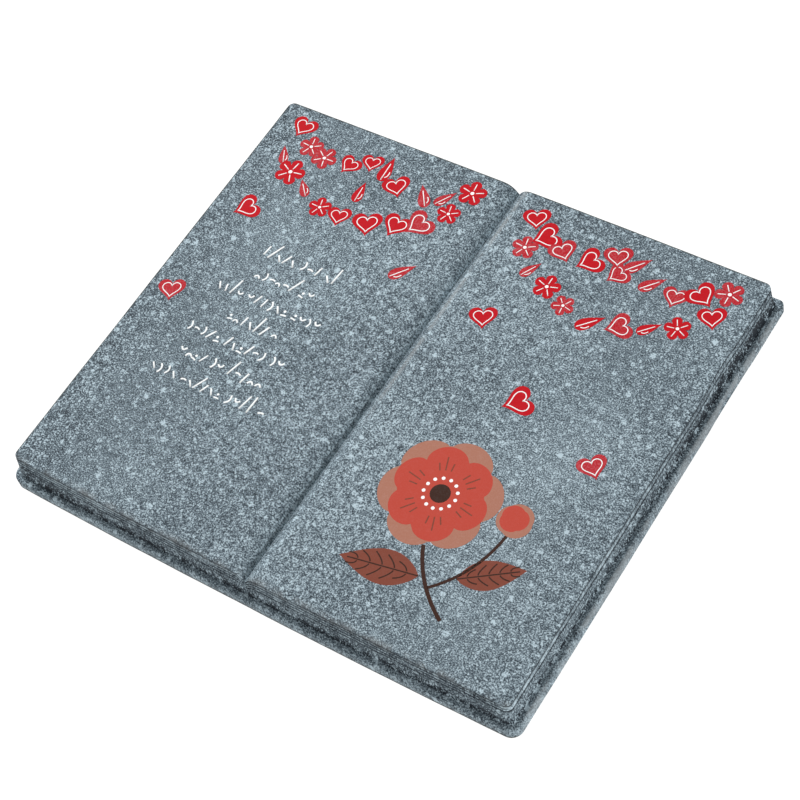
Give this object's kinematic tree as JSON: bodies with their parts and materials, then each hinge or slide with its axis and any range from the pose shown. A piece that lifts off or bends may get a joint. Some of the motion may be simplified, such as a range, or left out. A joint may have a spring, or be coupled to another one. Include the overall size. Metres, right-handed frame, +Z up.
{
  "type": "memorial plaque",
  "caption": "Open-book memorial plaque in cast stone: a low block of pages with a gutter at the spine, on a cover board that shows as a rounded rim.",
  "frame": {"origin": "middle of the underside", "axes": "+X across the open book, with the spine at x = 0; +Y up the page, from the foot to the head; +Z up out of the pages"},
  "size_m": [0.2, 0.1763, 0.0159],
  "materials": {
    "cast_stone": "matt blue-grey cast stone with fine light and dark speckle; print in red, brown and white on the pages"
  },
  "bodies": {
    "root": {"open_book_plaque": "cast_stone"}
  },
  "joints": []
}
